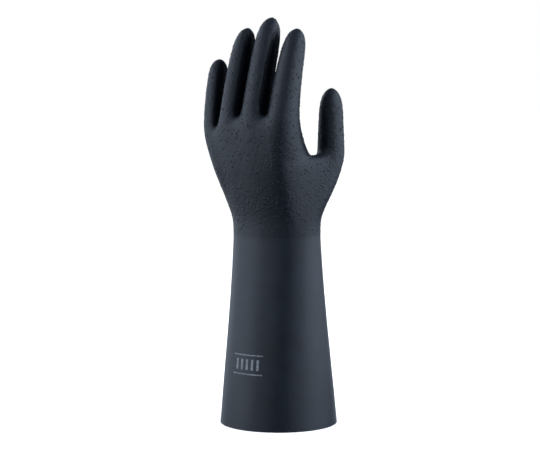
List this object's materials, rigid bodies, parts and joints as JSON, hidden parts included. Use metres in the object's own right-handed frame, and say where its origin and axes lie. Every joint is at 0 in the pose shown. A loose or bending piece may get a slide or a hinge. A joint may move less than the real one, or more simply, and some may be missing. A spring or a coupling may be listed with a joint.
{
  "type": "chemical-resistant glove",
  "caption": "Left-hand gauntlet of dark dipped rubber with slightly curled fingers, a free thumb and a long flared cuff, standing on its open end.",
  "frame": {"origin": "on the floor, under the middle of the glove's box; the rim of the cuff rests on the floor", "axes": "+Z from the rim to the fingertips, +X to the thumb side, +Y to the palm side, with the back of the hand facing -Y"},
  "size_m": [0.1352, 0.1092, 0.3921],
  "materials": {
    "rubber": "dark slate dipped rubber, pebbled on the hand and satin on the cuff"
  },
  "bodies": {
    "root": {"glove": "rubber"}
  },
  "joints": []
}
